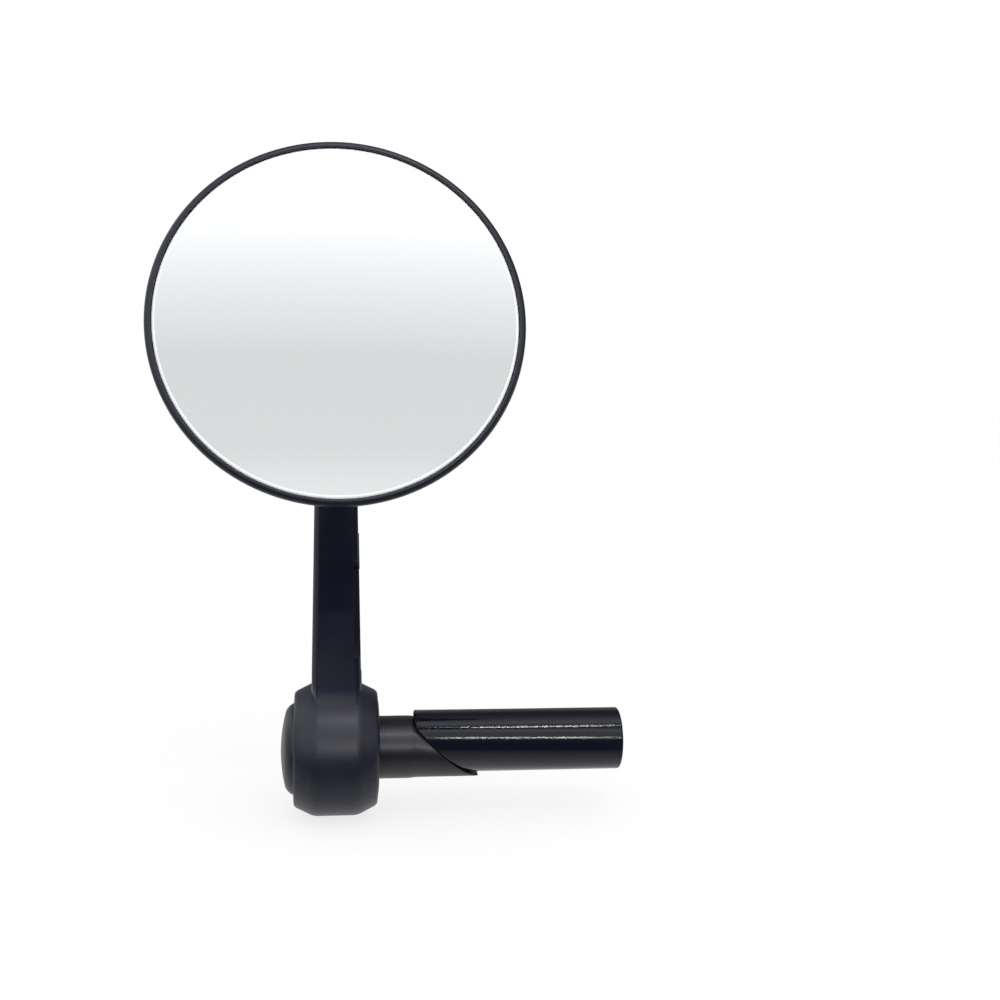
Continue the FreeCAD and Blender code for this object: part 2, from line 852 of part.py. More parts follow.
def make_plate_screws():
    body = new_body("plate_screws")
    face = tower_front - at.plate_thickness
    sketch = new_sketch(body, "section", "XY_Plane")
    edge = at.screw_radius / 3
    head_edge = at.screw_circle + at.screw_head_radius
    draw(sketch, [
        (at.screw_circle, face - at.screw_head_height),
        (head_edge - edge, face - at.screw_head_height),
        (head_edge, face - at.screw_head_height + edge),
        (head_edge, face),
        (at.screw_circle + at.screw_radius, face),
        (at.screw_circle + at.screw_radius, face + at.screw_length),
        (at.screw_circle, face + at.screw_length),
    ])
    axis = sketch.addGeometry(
        Part.LineSegment(vec(at.screw_circle.value, 0, 0), vec(at.screw_circle.value, 1, 0)), True)
    pin_coordinate(sketch, "DistanceX", axis, 1, at.screw_circle)
    pin_coordinate(sketch, "DistanceX", axis, 2, at.screw_circle)
    screw_ring(body, revolve(body, sketch, "Axis0"))
    on_head(body)


def make_head_housing():
    body = new_body("head_housing")
    recess = at.glass_radius + at.glass_gap
    roll_middle = at.head_radius - at.rim_roll
    roll_start = at.rim_round - at.rim_front - at.ball_depth
    roll_end_r = roll_middle + at.rim_roll * cosine(at.rim_roll_angle)
    roll_end_y = roll_start + at.rim_roll * sine(at.rim_roll_angle)
    foot_y = at.step_foot_height - at.ball_depth
    step_y = at.step_height - at.ball_depth
    lip_y = at.lip_height - at.ball_depth
    lip_mouth = at.lip_hole + at.lip_round
    tape_inner = at.glass_radius - at.tape_inset - at.tape_width
    root_y = at.tower_root - at.ball_depth
    sketch = new_sketch(body, "section", "XY_Plane")
    draw(sketch, [
        (recess, head_front),
        (at.head_radius - at.rim_round, head_front, at.rim_round, -1),
        (at.head_radius, roll_start, at.rim_roll, -1),
        (roll_end_r, roll_end_y, at.dome_radius, -1),
        (at.step_foot_radius, foot_y),
        (at.step_radius, step_y - at.step_round, at.step_round, -1),
        (at.step_radius - at.step_round, step_y),
        (at.lip_radius + at.lip_round, step_y),
        (at.lip_radius, lip_y - at.lip_round, at.lip_round, -1),
        (at.lip_radius - at.lip_round, lip_y),
        (lip_mouth, lip_y, at.lip_round, -1),
        (at.lip_hole, lip_y - at.lip_round),
        (at.lip_hole, leg(socket_radius, at.lip_hole), socket_radius, 1),
        (socket_radius, 0),
        (seat_bore, 0),
        (seat_bore, tower_front),
        (at.tower_radius, tower_front),
        (at.tower_radius, root_y, at.dome_radius - at.shell_wall, 1),
        (tape_inner, ledge),
        (recess, ledge),
    ])
    revolve(body, sketch, "V_Axis")
    depth = at.screw_length - at.plate_thickness + at.screw_clearance
    screw_holes(body, tower_front, depth, at.screw_radius + at.screw_clearance)
    on_head(body)


def make_mirror_glass():
    body = new_body("mirror_glass")
    flat_edge = at.glass_radius - at.glass_bevel
    front_middle = glass_edge - (at.glass_curve - leg(at.glass_curve, flat_edge))
    back_middle = glass_back - (back_curve - leg(back_curve, at.glass_radius))
    sketch = new_sketch(body, "section", "XY_Plane")
    draw(sketch, [
        (0, front_middle, at.glass_curve, -1),
        (flat_edge, glass_edge),
        (at.glass_radius, glass_edge + at.glass_bevel),
        (at.glass_radius, glass_back, back_curve, 1),
        (0, back_middle),
    ])
    revolve(body, sketch, "V_Axis")
    on_head(body)


def make_glass_tape():
    body = new_body("glass_tape")
    outer = at.glass_radius - at.tape_inset
    inner = outer - at.tape_width
    sketch = new_sketch(body, "section", "XY_Plane")
    draw(sketch, [
        (inner, back_of_glass(inner), back_curve, -1),
        (outer, back_of_glass(outer)),
        (outer, ledge),
        (inner, ledge),
    ])
    revolve(body, sketch, "V_Axis")
    on_head(body)


make_spindle()
make_wedge()
make_expander_bolt()
make_bolt_washers()
make_friction_washer()
make_arm()
make_end_cap()
make_cap_ring()
make_ball_stud()
make_ball_liner()
make_ball_seat()
make_disc_springs()
make_spring_plate()
make_plate_screws()
make_head_housing()
make_mirror_glass()
make_glass_tape()
doc.recompute()

# Check every object, then write one file for each piece
for item in doc.Objects:
    if "Invalid" in item.State or "Error" in item.State:
        raise RuntimeError(f"{item.Label} did not recompute")

os.makedirs("parts", exist_ok=True)
pieces = [item for item in doc.Objects if item.TypeId in ("PartDesign::Body", "Part::Torus")]
for piece in pieces:
    shape = piece.Shape
    if shape.isNull() or not shape.isValid():
        raise RuntimeError(f"{piece.Label} has no valid shape")
    shape.exportStep(f"parts/{piece.Label}.step")
    print(piece.Label, round(shape.Volume, 1), len(shape.Solids))
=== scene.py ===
import bmesh
import bpy
import math
from mathutils import Matrix, Vector


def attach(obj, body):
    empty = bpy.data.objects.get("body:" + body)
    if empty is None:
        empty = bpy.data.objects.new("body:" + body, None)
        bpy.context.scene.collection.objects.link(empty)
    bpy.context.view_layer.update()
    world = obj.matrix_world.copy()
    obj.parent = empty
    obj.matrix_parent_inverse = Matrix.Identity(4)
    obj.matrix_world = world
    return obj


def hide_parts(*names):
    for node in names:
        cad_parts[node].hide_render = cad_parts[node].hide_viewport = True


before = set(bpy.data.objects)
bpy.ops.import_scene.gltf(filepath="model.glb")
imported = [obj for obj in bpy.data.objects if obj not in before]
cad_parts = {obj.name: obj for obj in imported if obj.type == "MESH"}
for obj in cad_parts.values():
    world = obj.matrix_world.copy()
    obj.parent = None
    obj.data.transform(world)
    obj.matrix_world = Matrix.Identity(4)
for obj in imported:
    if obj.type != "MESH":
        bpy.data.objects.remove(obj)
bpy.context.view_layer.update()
mm = 0.001
xAxis = Vector((1, 0, 0))
yAxis = Vector((0, 1, 0))
zAxis = Vector((0, 0, 1))
print("frame loaded:", len(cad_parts), "nodes")

# What all the meshes share, with distances in mm
meshing = {
    "weld": 0.002,           # closes the seams of a finished mesh
    "joinProfile": 0.004,    # joins the stretches of a drawn profile
    "joinCad": 0.003,        # joins the facets of a CAD mesh
    "slice": 0.0005,
    "onPlane": 0.004,
    "cornerSegments": 6,
    "edgeSegments": 3,
    "evenProfile": 0.5,      # Blender's value for a circular bevel
    "smooth": 32,            # degrees
}


# Helpers for meshes, which take their lengths in mm

def alongX(along, out):
    return Vector((along * mm, 0, out * mm))


def alongY(along, out):
    return Vector((out * mm, along * mm, 0))


def arcTo(bm, start, stop, curve, turnAxis, steps):
    # sweeps a vertex along an arc, right-handed about turnAxis, and gives the last vertex
    radius = curve * mm
    chord = stop - start.co
    half = chord.length / 2
    towardCentre = turnAxis.cross(chord).normalized()
    centre = (start.co + stop) / 2 + towardCentre * math.sqrt(radius ** 2 - half ** 2)
    swept = bmesh.ops.spin(bm, geom=[start], cent=centre, axis=turnAxis,
                           angle=2 * math.asin(half / radius), steps=steps)
    return swept["geom_last"][0]


def drawProfile(bm, corners, place):
    # joins corners (along, out, leg); a leg above 0 rounds that corner
    verts = [bm.verts.new(place(along, out)) for along, out, leg in corners]
    for one, two in zip(verts, verts[1:]):
        bm.edges.new((one, two))
    for vert, (along, out, leg) in zip(verts, corners):
        if leg > 0:
            bmesh.ops.bevel(bm, geom=[vert], offset=leg * mm, affect="VERTICES",
                            segments=meshing["cornerSegments"], profile=meshing["evenProfile"], material=-1)
    return verts


def tidyMesh(bm):
    bmesh.ops.remove_doubles(bm, verts=bm.verts, dist=meshing["weld"] * mm)
    bmesh.ops.recalc_face_normals(bm, faces=bm.faces)
    if bm.calc_volume(signed=True) < 0:
        bmesh.ops.reverse_faces(bm, faces=bm.faces)


def turnFull(bm, axis, steps):
    # turns the drawn profile into a closed solid
    bmesh.ops.remove_doubles(bm, verts=bm.verts, dist=meshing["joinProfile"] * mm)
    bmesh.ops.spin(bm, geom=bm.verts[:] + bm.edges[:], cent=(0, 0, 0), axis=axis,
                   angle=2 * math.pi, steps=steps, use_merge=True)
    tidyMesh(bm)


def softenEdges(bm, edges, width):
    bmesh.ops.bevel(bm, geom=edges, offset=width * mm, offset_type="OFFSET", affect="EDGES",
                    segments=meshing["edgeSegments"], profile=meshing["evenProfile"],
                    clamp_overlap=False, material=-1)


def makePiece(bm, name, body, node, finishes, smoothAngle=meshing["smooth"]):
    mesh = bpy.data.meshes.new(name)
    bm.to_mesh(mesh)
    bm.free()
    for finish in finishes:
        mesh.materials.append(finish)
    mesh.shade_smooth()
    mesh.set_sharp_from_angle(angle=math.radians(smoothAngle))
    piece = bpy.data.objects.new(name, mesh)
    bpy.context.scene.collection.objects.link(piece)
    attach(piece, body)
    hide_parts(node)
    print("made", name, "with", len(mesh.polygons), "faces")


# Helpers for materials

whole = (0, 1)
noiseSpan = (0.3, 0.7)       # where most values of a noise texture lie
wavePeriod = 0.314           # a wave texture of scale 1 repeats after this length
white = (1, 1, 1, 1)


def linear(hexColour):
    # sRGB hex to linear RGBA
    parts = [int(hexColour[i:i + 2], 16) / 255 for i in (1, 3, 5)]
    return [p / 12.92 if p <= 0.04045 else ((p + 0.055) / 1.055) ** 2.4 for p in parts] + [1]


def addNode(tree, kind, inputs=None, **settings):
    node = tree.nodes.new("ShaderNode" + kind)
    for name, value in settings.items():
        setattr(node, name, value)
    for name, value in (inputs or {}).items():
        if isinstance(value, bpy.types.NodeSocket):
            tree.links.new(value, node.inputs[name])
        else:
            node.inputs[name].default_value = value
    return node


def calculate(tree, operation, *values):
    return addNode(tree, "Math", dict(enumerate(values)), operation=operation).outputs["Value"]


def mapRange(tree, value, span, limits, **settings):
    node = addNode(tree, "MapRange", {"Value": value, "From Min": span[0], "From Max": span[1],
                                      "To Min": limits[0], "To Max": limits[1]}, **settings)
    return node.outputs["Result"]


def noise(tree, coords, sizeMm, detail, roughness=0.5):
    node = addNode(tree, "TexNoise", {"Vector": coords, "Scale": 1 / (sizeMm * mm), "Detail": detail,
                                      "Roughness": roughness})
    return node.outputs["Fac"]


def mixShaders(tree, share, one, two):
    return addNode(tree, "MixShader", {"Fac": share, 1: one, 2: two}).outputs["Shader"]


def startMaterial(name):
    material = bpy.data.materials.new(name)
    material.use_nodes = True
    tree = material.node_tree
    shader = tree.nodes["Principled BSDF"]
    coords = addNode(tree, "TexCoord").outputs["Object"]
    return material, tree, shader, coords


def setValues(shader, values):
    for name, value in values.items():
        shader.inputs[name].default_value = value


def setTone(tree, shader, factor, look, span=whole):
    # fades the colour from dark to light over the span
    ramp = addNode(tree, "ValToRGB", {"Fac": factor})
    for element, where, shade in zip(ramp.color_ramp.elements, span, ("dark", "light")):
        element.position = where
        element.color = linear(look[shade])
    tree.links.new(ramp.outputs["Color"], shader.inputs["Base Color"])


def setRough(tree, shader, factor, limits, span=noiseSpan):
    tree.links.new(mapRange(tree, factor, span, limits), shader.inputs["Roughness"])


def setBump(tree, shader, height, strength, depthMm):
    bump = addNode(tree, "Bump", {"Height": height, "Strength": strength, "Distance": depthMm * mm})
    tree.links.new(bump.outputs["Normal"], shader.inputs["Normal"])


# Materials: a pair under "rough" is the range that the texture moves in

def blastedAnodising(name, look):
    # Anodised aluminium, bead blasted then dyed black: a matte skin of tiny pits that scatters
    # light softly, with a faint cloudiness in the dye
    material, tree, shader, coords = startMaterial(name)
    pits = noise(tree, coords, look["pitMm"], detail=3.0, roughness=0.6)
    cloud = noise(tree, coords, look["cloudMm"], detail=2.0)
    setTone(tree, shader, cloud, look, noiseSpan)
    setRough(tree, shader, pits, look["rough"])
    setBump(tree, shader, pits, look["bump"], look["pitDepthMm"])
    setValues(shader, {"IOR": look["ior"]})
    return material


armFinish = blastedAnodising("black_anodised_blasted", {
    "dark": "#070a19", "light": "#0a0e20", "rough": (0.35, 0.45), "ior": 1.58,
    "pitMm": 0.16, "pitDepthMm": 0.012, "bump": 0.5, "cloudMm": 9,
})
# Painted shade: a darker, duller copy of the blasted finish for the pocket's floor and sides, standing in for
# the shade in the recess
pocketShadeFinish = blastedAnodising("black_anodised_pocket_shade", {
    "dark": "#05060d", "light": "#080a12", "rough": (0.5, 0.6), "ior": 1.3,
    "pitMm": 0.3, "pitDepthMm": 0.04, "bump": 0.7, "cloudMm": 6,
})
headFinish = blastedAnodising("black_anodised_sanded", {
    "dark": "#080c1a", "light": "#0c1022", "rough": (0.33, 0.43), "ior": 1.55,
    "pitMm": 0.26, "pitDepthMm": 0.03, "bump": 0.7, "cloudMm": 12,
})


def shadeBladeOutward(material, s):
    # Painted shade: the blade looks duller than the hub, so its specular level drops just beyond the hub's
    # radius and the blade reads darker, as if shaded
    tree = material.node_tree
    coords = addNode(tree, "TexCoord").outputs["Object"]
    parts = addNode(tree, "SeparateXYZ", {"Vector": coords}).outputs
    across = calculate(tree, "MULTIPLY", parts["Y"], parts["Y"])
    square = calculate(tree, "MULTIPLY_ADD", parts["Z"], parts["Z"], across)
    out = calculate(tree, "SQRT", square)
    span = (s["hubMm"] * mm, s["bladeShadeMm"] * mm)
    sheen = mapRange(tree, out, span, (s["hubSheen"], s["shadedBladeSheen"]))
    tree.links.new(sheen, tree.nodes["Principled BSDF"].inputs["Specular IOR Level"])


shadeBladeOutward(armFinish, {"hubMm": 16.95, "bladeShadeMm": 17.9, "hubSheen": 0.5, "shadedBladeSheen": 0.13})


def turnedAnodising(name, look):
    # Anodised aluminium, turned on a lathe then dyed black: satin, with fine tool marks round the axis
    # that stretch a highlight along the piece
    material, tree, shader, coords = startMaterial(name)
    marks = addNode(tree, "TexWave", {"Vector": coords, "Scale": wavePeriod / (look["markMm"] * mm),
                                      "Distortion": look["waver"], "Detail": 2.0, "Detail Scale": 2.0},
                    wave_type="BANDS", bands_direction="X", wave_profile="SIN")
    pits = noise(tree, coords, look["pitMm"], detail=2.0)
    setRough(tree, shader, pits, look["rough"])
    height = calculate(tree, "ADD", marks.outputs["Fac"], pits)
    setBump(tree, shader, height, look["bump"], look["markDepthMm"])
    setValues(shader, {"Base Color": linear(look["colour"]), "IOR": look["ior"]})
    return material


plugFinish = turnedAnodising("black_anodised_turned", {
    "colour": "#060813", "rough": (0.32, 0.43), "ior": 1.6,
    "markMm": 0.7, "markDepthMm": 0.004, "waver": 1.2, "pitMm": 0.2, "bump": 0.5,
})


def glossEnamel(name, look):
    # Stoved black enamel over cast aluminium: wet gloss with orange peel, so a lamp breaks into small sparkles
    material, tree, shader, coords = startMaterial(name)
    peel = noise(tree, coords, look["peelMm"], detail=1.5, roughness=0.4)
    fine = noise(tree, coords, look["fineMm"], detail=2.0)
    height = calculate(tree, "MULTIPLY_ADD", fine, look["fineShare"], peel)
    setBump(tree, shader, height, look["bump"], look["peelDepthMm"])
    setRough(tree, shader, fine, look["rough"])
    setValues(shader, {"Base Color": linear(look["colour"]), "IOR": look["ior"]})
    return material


wedgeFinish = glossEnamel("black_enamel_gloss", {
    "colour": "#070914", "rough": (0.028, 0.056), "ior": 1.5,
    "peelMm": 0.5, "peelDepthMm": 0.022, "fineMm": 0.125, "fineShare": 0.25, "bump": 0.8,
})


def turnedMetal(name, look):
    # Bare metal faced on a lathe: concentric tool rings that fan the light
    material, tree, shader, coords = startMaterial(name)
    placed = addNode(tree, "Mapping", {"Vector": coords, "Location": [-c * mm for c in look["centreMm"]]})
    rings = addNode(tree, "TexWave", {"Vector": placed.outputs["Vector"],
                                      "Scale": wavePeriod / (look["ringMm"] * mm),
                                      "Distortion": look["waver"], "Detail": 2.0},
                    wave_type="RINGS", rings_direction="X", wave_profile="SIN")
    setTone(tree, shader, rings.outputs["Fac"], look)
    setBump(tree, shader, rings.outputs["Fac"], look["bump"], look["ringDepthMm"])
    setValues(shader, {"Metallic": 1.0, "Roughness": look["rough"]})
    return material


facedFinish = turnedMetal("aluminium_faced", {
    "centreMm": (0, -0.468, 1.53),    # the wedge's axis, which is lifted off the spindle's
    "dark": "#5b5856", "light": "#6a6765", "rough": 0.38,
    "ringMm": 0.6, "ringDepthMm": 0.003, "waver": 0.6, "bump": 0.5,
})


def treatedSteel(name, look):
    # Plated or blackened steel: metal with a soft patchy gloss
    material, tree, shader, coords = startMaterial(name)
    patch = noise(tree, coords, look["patchMm"], detail=4.0)
    setTone(tree, shader, patch, look)
    setRough(tree, shader, patch, look["rough"], whole)
    setValues(shader, {"Metallic": 1.0})
    return material


steelFinish = treatedSteel("steel_zinc_plated", {
    "dark": "#8f9296", "light": "#b4b7bb", "rough": (0.24, 0.44), "patchMm": 1.5,
})
ballFinish = treatedSteel("steel_blackened_oiled", {
    "dark": "#131316", "light": "#1d1d20", "rough": (0.12, 0.32), "patchMm": 1.5,
})
blackBoltFinish = treatedSteel("steel_black_oxide", {
    "dark": "#1d1d1f", "light": "#2b2b2d", "rough": (0.34, 0.54), "patchMm": 1.2,
})


def mouldedPolymer(name, look):
    # Moulded polymer: even colour with a slight mottle and a fine-grained skin
    material, tree, shader, coords = startMaterial(name)
    grain = noise(tree, coords, look["grainMm"], detail=3.0)
    setTone(tree, shader, grain, look)
    setBump(tree, shader, grain, strength=0.4, depthMm=look["grainDepthMm"])
    setValues(shader, {"Roughness": look["rough"], "IOR": 1.52})
    return material


nylonFinish = mouldedPolymer("nylon_moulded", {
    "dark": "#cbc5b6", "light": "#d8d2c4", "rough": 0.5, "grainMm": 0.5, "grainDepthMm": 0.006,
})
linerFinish = mouldedPolymer("nylon_black_moulded", {
    "dark": "#0c0c0e", "light": "#131315", "rough": 0.45, "grainMm": 0.5, "grainDepthMm": 0.006,
})
rubberFinish = mouldedPolymer("rubber_moulded", {
    "dark": "#131313", "light": "#1b1b1b", "rough": 0.75, "grainMm": 0.4, "grainDepthMm": 0.01,
})
foamFinish = mouldedPolymer("foam_closed_cell", {
    "dark": "#1f1f20", "light": "#303031", "rough": 0.9, "grainMm": 0.25, "grainDepthMm": 0.04,
})


def silveredGlass(name, look):
    # Silvered glass: a clean mirror, with a trace of haze from handling
    material, tree, shader, coords = startMaterial(name)
    haze = noise(tree, coords, look["hazeMm"], detail=3.0)
    setRough(tree, shader, haze, look["rough"], look["hazeSpan"])
    setValues(shader, {"Base Color": linear(look["colour"]), "Metallic": 1.0})
    return material


mirrorFinish = silveredGlass("glass_silvered", {
    "colour": "#f4f5f6", "rough": (0.0, 0.03), "hazeMm": 30, "hazeSpan": (0.35, 0.75),
})


def groundGlass(name, look):
    # Ground edge of the glass: a frosted bevel that catches light as a thin pale line
    material, tree, shader, coords = startMaterial(name)
    grit = noise(tree, coords, look["gritMm"], detail=2.0)
    setBump(tree, shader, grit, look["bump"], look["gritDepthMm"])
    setValues(shader, {"Base Color": linear(look["colour"]), "Roughness": look["rough"], "IOR": look["ior"]})
    return material


groundFinish = groundGlass("glass_ground_edge", {
    "colour": "#f8fbfc", "rough": 0.4, "ior": 1.52, "gritMm": 0.3, "gritDepthMm": 0.01, "bump": 0.5,
})
print("materials made")


# Head: its profiles run along the head's axis, from the ball's centre

ball = Vector((-10.85, 25.5772, 105.7096)) * mm
headTilt = math.radians(15.4)
headPlace = Matrix.Translation(ball) @ Matrix.Rotation(headTilt, 4, -xAxis)

# mm; a pair is a place along the axis and a radius
headShell = {
    "front": -17.0,
    "recess": 47.2,
    "recessRound": 0.25,
    "rim": 48.98,
    "rimRound": 1.55,
    "rimDepth": 1.6,
    "rollEnd": (-12.973, 47.763),
    "rollCurve": 3.0,
    "rollSteps": 8,
    "domeCurve": 85.0,
    "domeSteps": 22,
    "stepFoot": (-2.8, 23.5),
    "step": (3.3, 21.9),
    "stepRound": 1.3,
    "lip": (4.5, 9.2),
    "lipFoot": 0.4,
    "lipRound": 0.8,
    "lipHole": 6.1,
    "socket": 6.66,
    "socketSteps": 8,
    "seatBore": 8.38,
    "towerFront": -10.9,
    "towerRadius": 15.0,
    "towerRoot": -3.8,
    "wall": 2.2,
    "insideSteps": 14,
    "ledge": -14.3,
    "tapeInner": 43.6,
    "steps": 160,
}


def makeHeadShell(s):
    bm = bmesh.new()
    rim = drawProfile(bm, [
        (s["ledge"], s["tapeInner"], 0),
        (s["ledge"], s["recess"], 0),
        (s["front"], s["recess"], s["recessRound"]),
        (s["front"], s["rim"], s["rimRound"]),
        (s["front"] + s["rimDepth"], s["rim"], 0),
    ], alongY)
    roll = arcTo(bm, rim[-1], alongY(*s["rollEnd"]), s["rollCurve"], zAxis, s["rollSteps"])
    arcTo(bm, roll, alongY(*s["stepFoot"]), s["domeCurve"], zAxis, s["domeSteps"])
    socketMouth = math.sqrt(s["socket"] ** 2 - s["lipHole"] ** 2)
    stepTop, lipRadius = s["step"][0], s["lip"][1]
    step = drawProfile(bm, [
        (*s["stepFoot"], 0),
        (*s["step"], s["stepRound"]),
        (stepTop, lipRadius, s["lipFoot"]),
        (*s["lip"], s["lipRound"]),
        (s["lip"][0], s["lipHole"], s["lipRound"]),
        (socketMouth, s["lipHole"], 0),
    ], alongY)
    arcTo(bm, step[-1], alongY(0, s["socket"]), s["socket"], -zAxis, s["socketSteps"])
    inside = drawProfile(bm, [
        (0, s["socket"], 0),
        (0, s["seatBore"], 0),
        (s["towerFront"], s["seatBore"], 0),
        (s["towerFront"], s["towerRadius"], 0),
        (s["towerRoot"], s["towerRadius"], 0),
    ], alongY)
    arcTo(bm, inside[-1], alongY(s["ledge"], s["tapeInner"]), s["domeCurve"] - s["wall"], -zAxis,
          s["insideSteps"])
    turnFull(bm, yAxis, s["steps"])
    bmesh.ops.transform(bm, matrix=headPlace, verts=bm.verts)
    makePiece(bm, "headShell", "head_body", "head_housing", [headFinish])


makeHeadShell(headShell)

# mm
glass = {
    "radius": 47.0,
    "edge": -16.8,
    "back": -14.8,
    "curve": 1200.0,
    "bevel": 0.75,
    "faceSteps": 24,
    "backSteps": 6,
    "steps": 192,
    "smooth": 20,            # degrees
}


def makeGlass(s):
    bm = bmesh.new()
    flat = s["radius"] - s["bevel"]
    backCurve = s["curve"] - (s["back"] - s["edge"])
    sag = s["curve"] - math.sqrt(s["curve"] ** 2 - flat ** 2)
    backSag = backCurve - math.sqrt(backCurve ** 2 - s["radius"] ** 2)
    crown = bm.verts.new(alongY(s["edge"] - sag, 0))
    arcTo(bm, crown, alongY(s["edge"], flat), s["curve"], zAxis, s["faceSteps"])
    side = drawProfile(bm, [
        (s["edge"], flat, 0),
        (s["edge"] + s["bevel"], s["radius"], 0),
        (s["back"], s["radius"], 0),
    ], alongY)
    arcTo(bm, side[-1], alongY(s["back"] - backSag, 0), backCurve, -zAxis, s["backSteps"])
    turnFull(bm, yAxis, s["steps"])
    for face in bm.faces:
        middle = face.calc_center_median()
        onEdge = math.hypot(middle.x, middle.z) > flat * mm
        face.material_index = 1 if onEdge else 0
    bmesh.ops.transform(bm, matrix=headPlace, verts=bm.verts)
    makePiece(bm, "mirrorGlass", "head_body", "mirror_glass",
              [mirrorFinish, groundFinish], s["smooth"])


makeGlass(glass)

# Plug: the oblique cut that parts the spindle from the wedge

cut = {
    "centre": 18.2,          # along the plug where the cut crosses its axis, mm
    "angle": 42.0,           # degrees
    "roll": 17.0,            # degrees
    "lift": 1.6,             # mm
    "gap": 0.2,              # mm
    "flatTurn": 0.02,        # radians between faces, below which the cut face is flat
    "rimTurn": 0.3,          # radians between faces, above which an edge is the cut's rim
}
cutAngle = math.radians(cut["angle"])
cutNormal = Vector((math.sin(cutAngle), 0, math.cos(cutAngle)))
cutSlope = 1 / math.tan(cutAngle)
cutRoll = Matrix.Rotation(math.radians(cut["roll"]), 4, xAxis)


def fillCut(bm, planePoint, planeNormal, edge):
    # slices the turned blank, closes the sloping face and breaks its sharp edge
    sliced = bmesh.ops.bisect_plane(bm, geom=bm.verts[:] + bm.edges[:] + bm.faces[:],
                                    dist=meshing["slice"] * mm, plane_co=planePoint,
                                    plane_no=planeNormal, clear_outer=True)
    rimEdges = [g for g in sliced["geom_cut"] if isinstance(g, bmesh.types.BMEdge)]
    bmesh.ops.triangle_fill(bm, edges=rimEdges, use_beauty=True, use_dissolve=False)
    tidyMesh(bm)

    def onCut(item):
        near = meshing["onPlane"] * mm
        return all(abs((v.co - planePoint).dot(planeNormal)) < near for v in item.verts)

    across = [e for e in bm.edges if onCut(e) and e.is_manifold and e.calc_face_angle(0) < cut["flatTurn"]]
    bmesh.ops.dissolve_limit(bm, angle_limit=cut["flatTurn"], verts=[], edges=across)
    rim = [e for e in bm.edges if onCut(e) and e.is_manifold and e.calc_face_angle(0) > cut["rimTurn"]]
    softenEdges(bm, rim, edge)
    tidyMesh(bm)


# mm
spindle = {
    "bore": 5.75,
    "boreRound": 0.3,
    "flange": 12.2,
    "flangeBack": -4.0,
    "edge": 0.5,
    "plug": 8.0,
    "registerEnd": 8.0,
    "shoulder": 1.6,
    "shoulderRound": 0.6,
    "nose": 7.8,
    "noseRound": 0.2,
    "blunt": 1.0,
    "cutEdge": 0.35,
    "steps": 128,
}


def makeSpindle(s):
    bm = bmesh.new()
    noseEnd = cut["centre"] + s["plug"] * cutSlope - s["blunt"]
    drawProfile(bm, [
        (s["flangeBack"], s["bore"], s["boreRound"]),
        (s["flangeBack"], s["flange"], s["edge"]),
        (0, s["flange"], s["edge"]),
        (0, s["plug"], 0),
        (s["registerEnd"], s["plug"], s["shoulderRound"]),
        (s["registerEnd"] + s["shoulder"], s["nose"], s["shoulderRound"]),
        (noseEnd, s["nose"], s["noseRound"]),
        (noseEnd, s["bore"], 0),
        (s["flangeBack"], s["bore"], 0),
    ], alongX)
    turnFull(bm, xAxis, s["steps"])
    fillCut(bm, alongX(cut["centre"], 0), cutNormal, s["cutEdge"])
    bmesh.ops.transform(bm, matrix=cutRoll, verts=bm.verts)
    makePiece(bm, "plugSpindle", "base", "spindle", [plugFinish])


makeSpindle(spindle)

# mm
wedge = {
    "radius": 8.0,
    "end": 64.8,
    "edge": 0.5,
    "hole": 3.06,
    "chamfer": 0.5,
    "blunt": 1.0,
    "noseRound": 0.9,
    "cutEdge": 0.5,
    "facedEnd": 0.02,        # depth at the end, and wall round the hole, that are bare metal
    "facedHole": 0.45,
    "steps": 128,
}


def makeWedge(s):
    bm = bmesh.new()
    gap = cut["gap"] / math.sin(cutAngle)
    nose = cut["centre"] - s["radius"] * cutSlope + gap
    drawProfile(bm, [
        (nose + s["blunt"], s["hole"], 0),
        (nose + s["blunt"], s["radius"], s["noseRound"]),
        (s["end"], s["radius"], s["edge"]),
        (s["end"], s["hole"] + s["chamfer"], 0),
        (s["end"] - s["chamfer"], s["hole"], 0),
        (nose + s["blunt"], s["hole"], 0),
    ], alongX)
    turnFull(bm, xAxis, s["steps"])
    fillCut(bm, alongX(cut["centre"] + gap, 0), -cutNormal, s["cutEdge"])
    for face in bm.faces:
        middle = face.calc_center_median()
        out = math.hypot(middle.y, middle.z)
        faced = middle.x > (s["end"] - s["facedEnd"]) * mm or out < (s["hole"] + s["facedHole"]) * mm
        face.material_index = 1 if faced else 0
    lifted = Matrix.Translation(cutRoll @ alongX(0, cut["lift"])) @ cutRoll
    place = Matrix.Translation(alongX(-cut["lift"] * cutSlope, 0)) @ lifted
    bmesh.ops.transform(bm, matrix=place, verts=bm.verts)
    makePiece(bm, "plugWedge", "wedge_body", "wedge", [wedgeFinish, facedFinish])


makeWedge(wedge)

# End cap, mm
cap = {
    "face": -21.4,           # outer face of the hub
    "rise": 3.4,
    "shoulder": 2.3,
    "crown": 9.2,
    "crownSteps": 12,
    "edgeCurve": 3.6,
    "edgeSteps": 8,
    "skirt": 11.67,
    "skirtLength": 5.0,
    "skirtRound": 0.3,
    "groove": (1.8, 3.2),    # inward from the face
    "grooveRadius": 10.45,
    "inside": 9.3,
    "hollow": 7.6,
    "wall": 1.6,
    "steps": 128,
}


